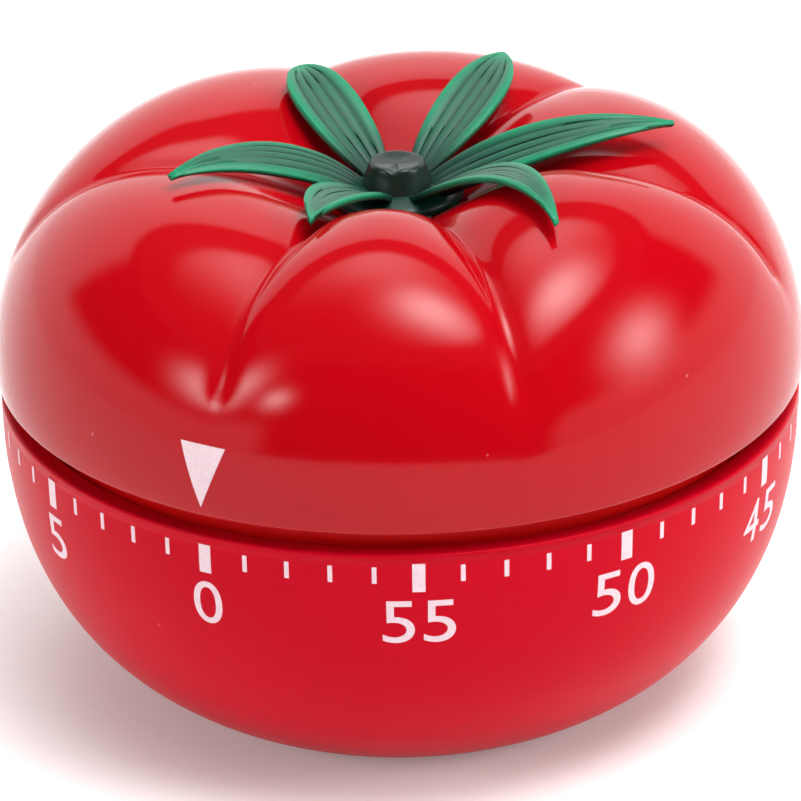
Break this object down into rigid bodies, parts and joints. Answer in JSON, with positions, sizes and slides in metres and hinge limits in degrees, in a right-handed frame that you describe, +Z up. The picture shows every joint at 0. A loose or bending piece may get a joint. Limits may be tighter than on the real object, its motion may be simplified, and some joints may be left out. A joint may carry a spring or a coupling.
{
  "type": "kitchen timer",
  "caption": "Tomato-shaped mechanical sixty-minute timer: the lobed upper half turns on a spring-driven gear movement that strikes a bell at zero.",
  "frame": {"origin": "centre of the foot on the table, under the dial's turning axis", "axes": "+Z up along the dial's axis, -Y is the front where the pointer and the zero of the scale stand at rest"},
  "size_m": [0.065, 0.065, 0.048],
  "materials": {
    "gloss_red": "high gloss",
    "red": "semi gloss",
    "dark_red": "satin",
    "leaf_green": "satin",
    "stem_green": "gloss",
    "bush_white": "satin",
    "plate_brass": "brushed",
    "bell_chrome": "polished",
    "steel": "brushed",
    "spring_steel": "blued"
  },
  "bodies": {
    "case": {"lower_shell": "red", "base_cap": "red", "base_cap_screws": "steel", "deck": "dark_red", "deck_screws": "steel", "deck_bush": "bush_white", "front_plate": "plate_brass", "back_plate": "plate_brass", "plate_pillars": "steel", "movement_screws": "steel", "back_plate_screws": "steel", "bell": "bell_chrome", "bell_screw": "steel", "stop_pin": "steel", "spring_post": "steel", "mainspring": "spring_steel", "hammer_spring": "spring_steel", "release_spring": "spring_steel"},
    "dial": {"upper_shell": "gloss_red", "drive_hub": "dark_red", "stop_arm": "steel", "calyx": "leaf_green", "stem": "stem_green", "main_arbor": "steel", "arbor_clip": "steel", "ratchet_wheel": "steel", "click": "steel", "click_spring": "spring_steel", "great_wheel": "plate_brass", "tension_washer": "spring_steel", "cam_disc": "steel"},
    "second": {"second_arbor": "steel", "second_wheel": "plate_brass", "star_wheel": "plate_brass"},
    "third": {"third_arbor": "steel", "third_wheel": "plate_brass"},
    "escape": {"escape_arbor": "steel", "escape_wheel": "plate_brass"},
    "balance": {"balance_staff": "steel", "balance_wheel": "plate_brass", "pallet_lever": "steel"},
    "hammer": {"hammer_staff": "steel", "hammer_arm": "steel", "hammer_tail": "steel"},
    "release": {"release_staff": "steel", "release_lever": "steel"}
  },
  "joints": [
    {"name": "dial_turn", "type": "hinge", "parent": "case", "child": "dial", "pos_m": [0, 0, 0.03], "axis": [0, 0, -1], "range_deg": [0, 354], "deforming": ["mainspring"]},
    {"name": "second_wheel_spin", "type": "hinge", "parent": "case", "child": "second", "pos_m": [-0.01228, 0.00709, 0.018], "axis": [0, 0, -1], "range_deg": [-2124, 0]},
    {"name": "third_wheel_spin", "type": "hinge", "parent": "case", "child": "third", "pos_m": [-0.00518, 0.01301, 0.018], "axis": [0, 0, -1], "range_deg": [0, 12744]},
    {"name": "escape_wheel_spin", "type": "hinge", "parent": "case", "child": "escape", "pos_m": [0.00229, 0.01684, 0.018], "axis": [0, 0, -1], "range_deg": [-76464, 0]},
    {"name": "balance_rock", "type": "hinge", "parent": "case", "child": "balance", "pos_m": [0.00957, 0.01405, 0.018], "axis": [0, 0, -1], "range_deg": [-10, 10]},
    {"name": "hammer_swing", "type": "hinge", "parent": "case", "child": "hammer", "pos_m": [-0.01631, -0.00761, 0.018], "axis": [0, 0, -1], "range_deg": [-3, 4], "stiffness_Nm_per_rad": 0.002},
    {"name": "release_swing", "type": "hinge", "parent": "case", "child": "release", "pos_m": [-0.00433, -0.01331, 0.018], "axis": [0, 0, -1], "range_deg": [0, 5], "stiffness_Nm_per_rad": 0.001}
  ],
  "couplings": [
    {"joint": "second_wheel_spin", "follows": "dial_turn", "ratio": -6},
    {"joint": "third_wheel_spin", "follows": "dial_turn", "ratio": 36},
    {"joint": "escape_wheel_spin", "follows": "dial_turn", "ratio": -216}
  ]
}
